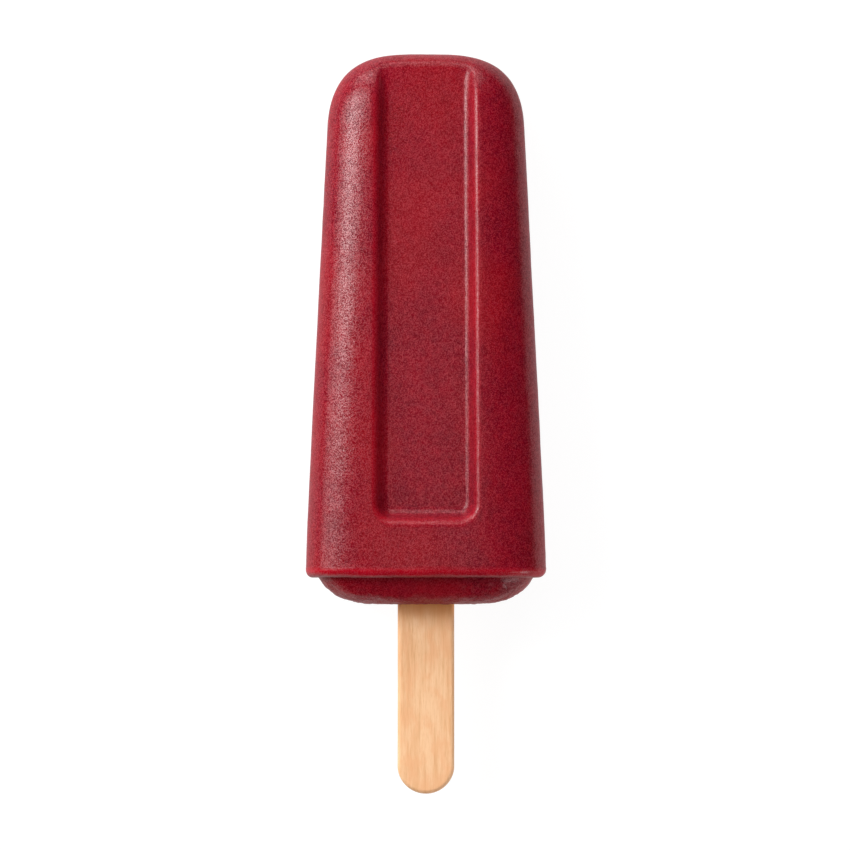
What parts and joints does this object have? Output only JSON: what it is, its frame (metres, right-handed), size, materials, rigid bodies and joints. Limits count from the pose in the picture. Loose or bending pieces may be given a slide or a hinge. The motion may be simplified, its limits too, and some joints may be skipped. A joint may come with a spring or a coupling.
{
  "type": "ice pop",
  "caption": "Moulded bar of frozen red fruit with a sunken panel on each broad face and a rounded tip, on a flat wooden stick with a round end.",
  "frame": {"origin": "centre of the outer box's bottom face, on the plane that the bar lies on", "axes": "+Y along the stick towards the bar's rounded tip, +Z out of the shown broad face, +X across the bar"},
  "size_m": [0.0424, 0.1304, 0.0225],
  "materials": {
    "frozen_fruit": null,
    "birch": "pale uncoated birch, planed, with fine lengthwise grain and tumbled edges"
  },
  "bodies": {
    "root": {"ice_bar": "frozen_fruit", "stick": "birch"}
  },
  "joints": []
}
